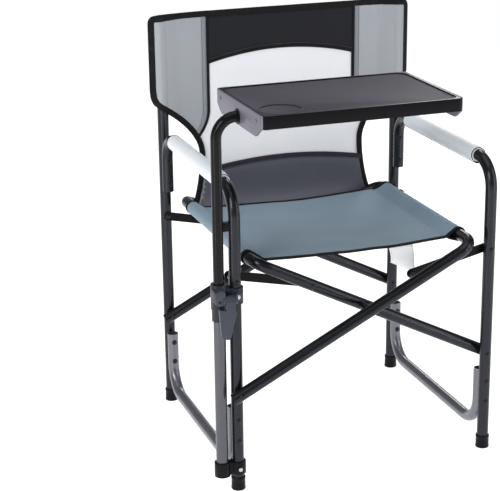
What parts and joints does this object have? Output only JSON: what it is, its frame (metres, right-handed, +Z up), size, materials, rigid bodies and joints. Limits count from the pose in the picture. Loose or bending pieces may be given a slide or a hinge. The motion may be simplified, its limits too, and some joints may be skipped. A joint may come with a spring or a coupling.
{
  "type": "director chair",
  "caption": "Folding director chair with scissor seat frame, padded armrests, cloth seat and back, and a swing-out side table on a height-adjustable pole.",
  "frame": {"origin": "bottom centre of the whole chair's box, on the floor under it", "axes": "+Z up, the sitter faces -Y, the table's pole stands at the -X side"},
  "size_m": [0.6486, 0.671, 0.921],
  "materials": {
    "frame_paint": "satin gunmetal powder coat",
    "stretcher_paint": "satin light gunmetal powder coat",
    "scissor_paint": "satin dark gunmetal powder coat",
    "sleeve_paint": "satin grey powder coat",
    "pole_paint": "gloss black powder coat",
    "link_paint": "satin black",
    "black_metal": "black rivets",
    "screw_steel": "zinc plated",
    "black_plastic": "moulded, matt",
    "clamp_plastic": "moulded nylon, matt",
    "lever_plastic": "moulded nylon, satin",
    "table_plastic": "fine textured moulding",
    "plate_plastic": "moulded, satin",
    "button_plastic": "gloss",
    "pad_cover": "coated cloth wrap",
    "black_cloth": "woven binding tape",
    "seat_cloth": "tight plain weave polyester",
    "label_cloth": "blank satin tape",
    "black_mesh": "black woven polyester",
    "light_mesh": "open mesh",
    "lumbar_cloth": "padded polyester",
    "wing_cloth": "padded polyester"
  },
  "bodies": {
    "root": {"right_arm_tube": "frame_paint", "right_back_post": "frame_paint", "right_stretcher": "stretcher_paint", "right_frame_rivets": "black_metal", "right_front_foot": "black_plastic", "right_back_foot": "black_plastic", "right_post_cap": "black_plastic", "right_arm_pad": "pad_cover", "right_pad_strip": "black_cloth", "right_pivot_rivets": "black_metal", "pole_sleeve": "sleeve_paint", "pole_clamp": "clamp_plastic", "pole_socket": "black_plastic", "pole_saddle": "black_plastic", "clamp_screws": "screw_steel", "lever_pin": "screw_steel", "right_wing": "wing_cloth", "back_top_panel": "black_mesh", "back_mesh_panel": "light_mesh", "lumbar_pad": "lumbar_cloth"},
    "left_frame": {"left_arm_tube": "frame_paint", "left_back_post": "frame_paint", "left_stretcher": "stretcher_paint", "left_frame_rivets": "black_metal", "left_front_foot": "black_plastic", "left_back_foot": "black_plastic", "left_post_cap": "black_plastic", "left_arm_pad": "pad_cover", "left_pad_strip": "black_cloth", "left_pivot_rivets": "black_metal", "left_wing": "wing_cloth"},
    "frame_b": {"seat_frame_b": "scissor_paint", "cross_rivets": "black_metal", "cross_bushes": "black_plastic", "link_rivets_b": "black_metal"},
    "frame_a": {"seat_frame_a": "scissor_paint", "link_rivets_a": "black_metal"},
    "seat": {"seat_sling": "seat_cloth", "seat_binding": "black_cloth", "seat_label": "label_cloth"},
    "right_front_bar": {"right_front_link": "link_paint"},
    "right_back_bar": {"right_back_link": "link_paint"},
    "left_front_bar": {"left_front_link": "link_paint"},
    "left_back_bar": {"left_back_link": "link_paint"},
    "lever": {"clamp_lever": "lever_plastic"},
    "carriage": {"pole_plug": "black_plastic"},
    "pole": {"table_pole": "pole_paint", "button_housing": "black_plastic", "button_spring": "screw_steel"},
    "table": {"table_tray": "table_plastic", "table_near_plate": "plate_plastic", "table_far_plate": "plate_plastic", "table_grommets": "black_plastic", "table_screws": "screw_steel"},
    "button": {"table_button": "button_plastic"}
  },
  "joints": [
    {"name": "fold", "type": "hinge", "parent": "root", "child": "frame_b", "pos_m": [-0.27275, -0.198, 0.222], "axis": [0, -1, 0], "range_deg": [0, 35.5], "deforming": ["seat_sling", "seat_binding", "seat_label", "back_top_panel", "back_mesh_panel", "lumbar_pad", "right_wing", "left_wing"]},
    {"name": "cross", "type": "hinge", "parent": "frame_b", "child": "frame_a", "pos_m": [0.01225, -0.198, 0.3665], "axis": [0, 1, 0], "range_deg": [0, 71]},
    {"name": "left_frame_turn", "type": "hinge", "parent": "frame_a", "child": "left_frame", "pos_m": [0.29725, -0.198, 0.222], "axis": [0, -1, 0], "range_deg": [0, 35.5]},
    {"name": "right_front_link_turn", "type": "hinge", "parent": "root", "child": "right_front_bar", "pos_m": [-0.27275, -0.198, 0.461], "axis": [0, -1, 0], "range_deg": [0, 71.96]},
    {"name": "right_back_link_turn", "type": "hinge", "parent": "root", "child": "right_back_bar", "pos_m": [-0.27275, 0.295, 0.461], "axis": [0, -1, 0], "range_deg": [0, 71.96]},
    {"name": "left_front_link_turn", "type": "hinge", "parent": "left_frame", "child": "left_front_bar", "pos_m": [0.29725, -0.198, 0.461], "axis": [0, 1, 0], "range_deg": [0, 71.96]},
    {"name": "left_back_link_turn", "type": "hinge", "parent": "left_frame", "child": "left_back_bar", "pos_m": [0.29725, 0.295, 0.461], "axis": [0, 1, 0], "range_deg": [0, 71.96]},
    {"name": "seat_turn", "type": "hinge", "parent": "frame_b", "child": "seat", "pos_m": [0.24771, 0.0485, 0.48588], "axis": [0, 1, 0], "range_deg": [0, 35.5]},
    {"name": "clamp_lever_turn", "type": "hinge", "parent": "root", "child": "lever", "pos_m": [-0.29425, -0.226, 0.433], "axis": [-1, 0, 0], "range_deg": [0, 100]},
    {"name": "pole_slide", "type": "slide", "parent": "root", "child": "carriage", "axis": [0, 0, 1], "range_m": [-0.1, 0.02]},
    {"name": "pole_swivel", "type": "hinge", "parent": "carriage", "child": "pole", "pos_m": [-0.30725, -0.198, 0.36], "axis": [0, 0, 1], "range_deg": [-180, 0]},
    {"name": "table_tilt", "type": "hinge", "parent": "pole", "child": "table", "pos_m": [-0.05125, -0.198, 0.8], "axis": [-1, 0, 0], "range_deg": [-90, 0]},
    {"name": "button_press", "type": "slide", "parent": "pole", "child": "button", "axis": [-1, 0, 0], "range_m": [0, 0.005], "stiffness_N_per_m": 500, "springref_m": -0.003, "deforming": ["button_spring"]}
  ],
  "couplings": [
    {"joint": "cross", "follows": "fold", "ratio": 2},
    {"joint": "left_frame_turn", "follows": "fold", "ratio": 1},
    {"joint": "right_front_link_turn", "follows": "fold", "ratio": 2.0267},
    {"joint": "right_back_link_turn", "follows": "fold", "ratio": 2.0267},
    {"joint": "left_front_link_turn", "follows": "fold", "ratio": 2.0267},
    {"joint": "left_back_link_turn", "follows": "fold", "ratio": 2.0267},
    {"joint": "seat_turn", "follows": "fold", "ratio": 1}
  ]
}
